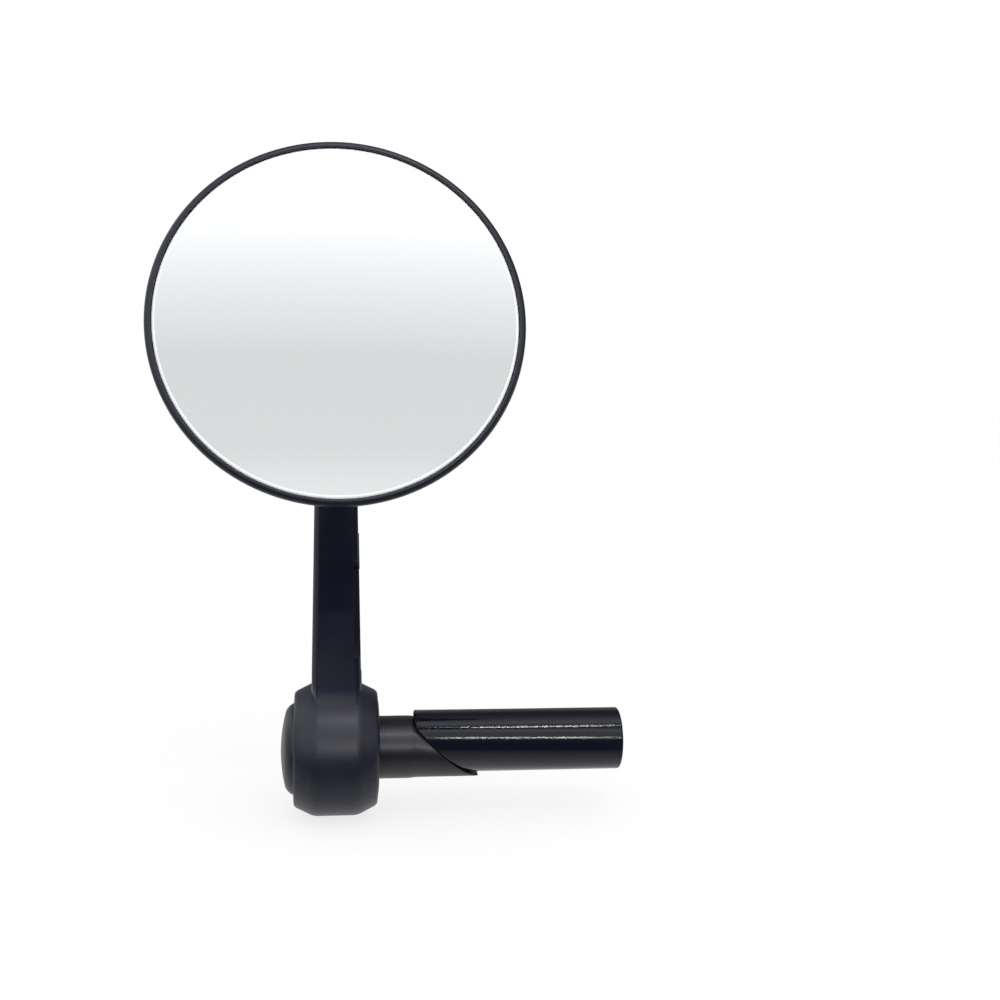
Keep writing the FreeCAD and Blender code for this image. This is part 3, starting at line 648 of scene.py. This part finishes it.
def makeCap(s):
    bm = bmesh.new()
    bulge = s["rise"] - s["shoulder"]
    crownCurve = (s["crown"] ** 2 + bulge ** 2) / (2 * bulge)
    face = s["face"]
    top = bm.verts.new(alongX(face - s["rise"], 0))
    crown = arcTo(bm, top, alongX(face - s["shoulder"], s["crown"]), crownCurve, yAxis, s["crownSteps"])
    arcTo(bm, crown, alongX(face, s["skirt"]), s["edgeCurve"], yAxis, s["edgeSteps"])
    grooveStart, grooveEnd = s["groove"]
    drawProfile(bm, [
        (face, s["skirt"], 0),
        (face + grooveStart, s["skirt"], 0),
        (face + grooveStart, s["grooveRadius"], 0),
        (face + grooveEnd, s["grooveRadius"], 0),
        (face + grooveEnd, s["skirt"], 0),
        (face + s["skirtLength"], s["skirt"], s["skirtRound"]),
        (face + s["skirtLength"], s["inside"], 0),
        (face, s["inside"], 0),
        (face - s["rise"] + s["wall"], s["hollow"], 0),
        (face - s["rise"] + s["wall"], 0, 0),
    ], alongX)
    turnFull(bm, xAxis, s["steps"])
    makePiece(bm, "hubCap", "arm_body", "end_cap", [armFinish])


makeCap(cap)

# Arm: the CAD's casting with its edges softened and its pocket given a darker copy of the finish as painted
# shade
arm = {
    "edge": 0.2,             # softened edges, mm
    "sharp": 18,             # degrees
    "cadFlat": 0.4,          # degrees between facets of the CAD mesh that are one face
    "smooth": 25,            # degrees
    "middle": -10.85,        # the blade's middle plane, mm
    "lean": 33.8,            # degrees
    "pocketDepth": (4.55, 6.6),   # mm from the middle plane
    "pocketStart": 23.0,     # mm from the hub's axis
    "pocketEnd": 53.3,       # mm along the blade
    "pocketBack": 4.4,       # mm behind the hub's axis, across the blade
    "pocketFloor": 0.95,     # a face whose normal has more X than this is the floor
    "pocketSide": 0.1,       # and one with less is a side
}


def makeArm(s):
    bm = bmesh.new()
    bm.from_mesh(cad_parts["arm"].data)
    bmesh.ops.remove_doubles(bm, verts=bm.verts, dist=meshing["joinCad"] * mm)
    bmesh.ops.dissolve_limit(bm, angle_limit=math.radians(s["cadFlat"]), verts=bm.verts, edges=bm.edges)
    sharp = [e for e in bm.edges if e.is_manifold and e.calc_face_angle(0) > math.radians(s["sharp"])]
    softenEdges(bm, sharp, s["edge"])
    bmesh.ops.dissolve_degenerate(bm, dist=meshing["weld"] * mm, edges=bm.edges)
    tidyMesh(bm)
    lean = math.radians(s["lean"])
    low, high = s["pocketDepth"]
    # Painted shade: faces of the pocket's floor and sides take the darker finish
    for face in bm.faces:
        middle = face.calc_center_median() / mm
        depth = middle.x - s["middle"]
        along = middle.y * math.sin(lean) + middle.z * math.cos(lean)
        across = middle.y * math.cos(lean) - middle.z * math.sin(lean)
        out = math.hypot(middle.y, middle.z)
        inPocket = low < depth < high and out > s["pocketStart"] and along < s["pocketEnd"]
        square = abs(face.normal.x) > s["pocketFloor"] or abs(face.normal.x) < s["pocketSide"]
        face.material_index = 1 if inPocket and square and across < s["pocketBack"] else 0
    makePiece(bm, "armCasting", "arm_body", "arm", [armFinish, pocketShadeFinish], s["smooth"])


makeArm(arm)

# Pieces that keep their CAD shape get a real finish
keptFinishes = {
    "expander_bolt": blackBoltFinish,
    "bolt_washer": steelFinish,
    "spring_washer": steelFinish,
    "disc_springs": steelFinish,
    "spring_plate": steelFinish,
    "plate_screws": steelFinish,
    "ball_stud": ballFinish,
    "friction_washer": nylonFinish,
    "ball_liner": linerFinish,
    "ball_seat": nylonFinish,
    "cap_ring": rubberFinish,
    "glass_tape": foamFinish,
}
for node, finish in keptFinishes.items():
    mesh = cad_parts[node].data
    mesh.materials.clear()
    mesh.materials.append(finish)
print("kept nodes finished:", len(keptFinishes))

# Stage: floor, world, lamps and camera

floorSheet = {
    "height": -17.0,         # mm, the hub rests on it
    "size": 12.0,            # m
    "colour": "#f2f2f2",
    "rough": 0.9,
    "glow": 0.935,           # what the camera sees of it, so that it reads as white paper
    "glowShare": 0.83,       # the rest keeps the shadow
    "mirroredFrom": (-40, -8),    # mm in Y, from in front of the plug to right under it
    "mirrored": (0.06, 0.75),     # painted reflection: how bright reflections show the floor there, dim in front and bright under the plug
}


def makeFloor(s):
    bm = bmesh.new()
    bmesh.ops.create_grid(bm, x_segments=1, y_segments=1, size=s["size"] / 2)
    bmesh.ops.translate(bm, verts=bm.verts, vec=(0, 0, s["height"] * mm))
    mesh = bpy.data.meshes.new("floor")
    bm.to_mesh(mesh)
    bm.free()
    floor = bpy.data.objects.new("floor", mesh)
    bpy.context.scene.collection.objects.link(floor)
    material, tree, shader, coords = startMaterial("floor_white")
    setValues(shader, {"Base Color": linear(s["colour"]), "Roughness": s["rough"], "Specular IOR Level": 0.0})
    path = addNode(tree, "LightPath").outputs
    glow = addNode(tree, "Emission", {"Strength": s["glow"]}).outputs["Emission"]
    seen = calculate(tree, "MULTIPLY", path["Is Camera Ray"], s["glowShare"])
    where = addNode(tree, "SeparateXYZ", {"Vector": coords}).outputs
    # Painted reflection: glossy rays see the floor as a glow, dim in front of the plug and bright right under
    # it
    level = mapRange(tree, where["Y"], [y * mm for y in s["mirroredFrom"]], s["mirrored"])
    mirrored = addNode(tree, "Emission", {"Strength": level}).outputs["Emission"]
    paper = mixShaders(tree, path["Is Glossy Ray"], shader.outputs["BSDF"], mirrored)
    mixed = mixShaders(tree, seen, paper, glow)
    tree.links.new(mixed, tree.nodes["Material Output"].inputs["Surface"])
    mesh.materials.append(material)


makeFloor(floorSheet)

# Spans are parts of a unit direction: X to the right, Y to the back
surroundings = {
    "fill": 1.5,             # what lights matt surfaces, the same from all sides
    "backdrop": 1.0,         # what the camera sees
    "skyScale": 2.3,         # the ramp holds the sky's levels as shares of this
    # brightness in reflections, by degrees from the front horizon, over the top, to the back one
    "skyStops": [
        (0, 0.08), (6, 0.12), (12, 0.4), (18, 0.9), (22, 0.875), (24.5, 0.775), (31, 0.763), (35.5, 0.925),
        (39.5, 1.1), (43, 1.3), (47, 1.1), (52, 0.45), (60, 0.35), (66, 0.4), (72, 0.9), (81, 1.2),
        (90, 0.75), (100, 0.45), (110, 0.25), (122, 0.12), (135, 0.12), (153, 0.28), (165, 0.25), (180, 0.2),
    ],
    "rightShare": 0.3,       # what is left of the sky behind to the right
    "rightSpan": (0.3, 0.8),
    "behindSpan": (-0.3, 0.3),
    "dimming": (0.45, 1.0),  # how far the right is dimmed in front and behind
    "leftWall": 1.1,         # a white wall to the left, seen only by steep side faces
    "leftSpan": (-0.35, -0.75),
    "leftFadeSpan": (-0.75, -1.0),
    "leftFade": 0.35,        # share of the wall's brightness straight to the left
}


def background(tree, strength, colour=white):
    return addNode(tree, "Background", {"Color": colour, "Strength": strength}).outputs["Background"]


def makeSky(tree, parts, s):
    ahead = calculate(tree, "MULTIPLY", parts["Y"], -1.0)
    angle = calculate(tree, "ARCTAN2", parts["Z"], ahead)
    share = calculate(tree, "DIVIDE", angle, math.pi)
    sky = addNode(tree, "ValToRGB", {"Fac": share})
    stops = s["skyStops"]
    while len(sky.color_ramp.elements) < len(stops):
        sky.color_ramp.elements.new(0.5)
    for element, (degrees, level) in zip(sky.color_ramp.elements, stops):
        element.position = degrees / 180
        element.color = [level / s["skyScale"]] * 3 + [1]
    right = mapRange(tree, parts["X"], s["rightSpan"], whole, interpolation_type="SMOOTHSTEP")
    behind = mapRange(tree, parts["Y"], s["behindSpan"], s["dimming"], interpolation_type="SMOOTHSTEP")
    corner = calculate(tree, "MULTIPLY", right, behind)
    strength = mapRange(tree, corner, whole, (s["skyScale"], s["skyScale"] * s["rightShare"]))
    return background(tree, strength, sky.outputs["Color"])


def makeWorld(s):
    world = bpy.data.worlds.new("studio")
    world.use_nodes = True
    bpy.context.scene.world = world
    tree = world.node_tree
    tree.nodes.clear()
    path = addNode(tree, "LightPath").outputs
    direction = addNode(tree, "TexCoord").outputs["Generated"]
    parts = addNode(tree, "SeparateXYZ", {"Vector": direction}).outputs
    sky = makeSky(tree, parts, s)
    left = mapRange(tree, parts["X"], s["leftSpan"], whole, interpolation_type="SMOOTHSTEP")
    wallLevels = (s["leftWall"], s["leftWall"] * s["leftFade"])
    wall = background(tree, mapRange(tree, parts["X"], s["leftFadeSpan"], wallLevels))
    reflected = mixShaders(tree, left, sky, wall)
    lit = mixShaders(tree, path["Is Glossy Ray"], background(tree, s["fill"]), reflected)
    shown = mixShaders(tree, path["Is Camera Ray"], lit, background(tree, s["backdrop"]))
    output = addNode(tree, "OutputWorld")
    tree.links.new(shown, output.inputs["Surface"])


makeWorld(surroundings)

lamps = {
    "strips": [(62.0, 0.6, 190.0), (15.5, 0.6, 165.0)],   # elevation, half height in degrees, radiance
    "distance": 3.0,         # m
    "width": 1.3,            # m
    "right": 0.4,            # m to the right, so that they light the plug more than the arm
}


def makeStrips(s):
    for number, (elevation, half, radiance) in enumerate(s["strips"], start=1):
        lamp = bpy.data.lights.new(f"strip{number}", "AREA")
        lamp.shape = "RECTANGLE"
        lamp.size = s["width"]
        lamp.size_y = 2 * s["distance"] * math.tan(math.radians(half))
        lamp.energy = radiance * math.pi * lamp.size * lamp.size_y / 4
        strip = bpy.data.objects.new(f"strip{number}", lamp)
        rise = math.radians(elevation)
        away = Vector((0, -math.cos(rise), math.sin(rise)))
        strip.location = away * s["distance"] + xAxis * s["right"]
        strip.rotation_euler = (math.pi / 2 - rise, 0, 0)
        bpy.context.scene.collection.objects.link(strip)


makeStrips(lamps)

camera = {
    "place": (-13.796, -330.457, 94.656),   # mm
    "turn": (84.8191, -1.0633, -7.5656),    # degrees
    "lens": 46.8,            # mm
    "sensor": 36,            # mm
    "clip": (0.01, 50),      # m
}


def makeCamera(s):
    data = bpy.data.cameras.new("photoCamera")
    data.lens = s["lens"]
    data.sensor_width = s["sensor"]
    data.clip_start, data.clip_end = s["clip"]
    viewer = bpy.data.objects.new("photoCamera", data)
    viewer.location = [c * mm for c in s["place"]]
    viewer.rotation_euler = [math.radians(a) for a in s["turn"]]
    bpy.context.scene.collection.objects.link(viewer)
    bpy.context.scene.camera = viewer


makeCamera(camera)
bpy.context.scene.view_settings.view_transform = "Standard"
print("stage set")
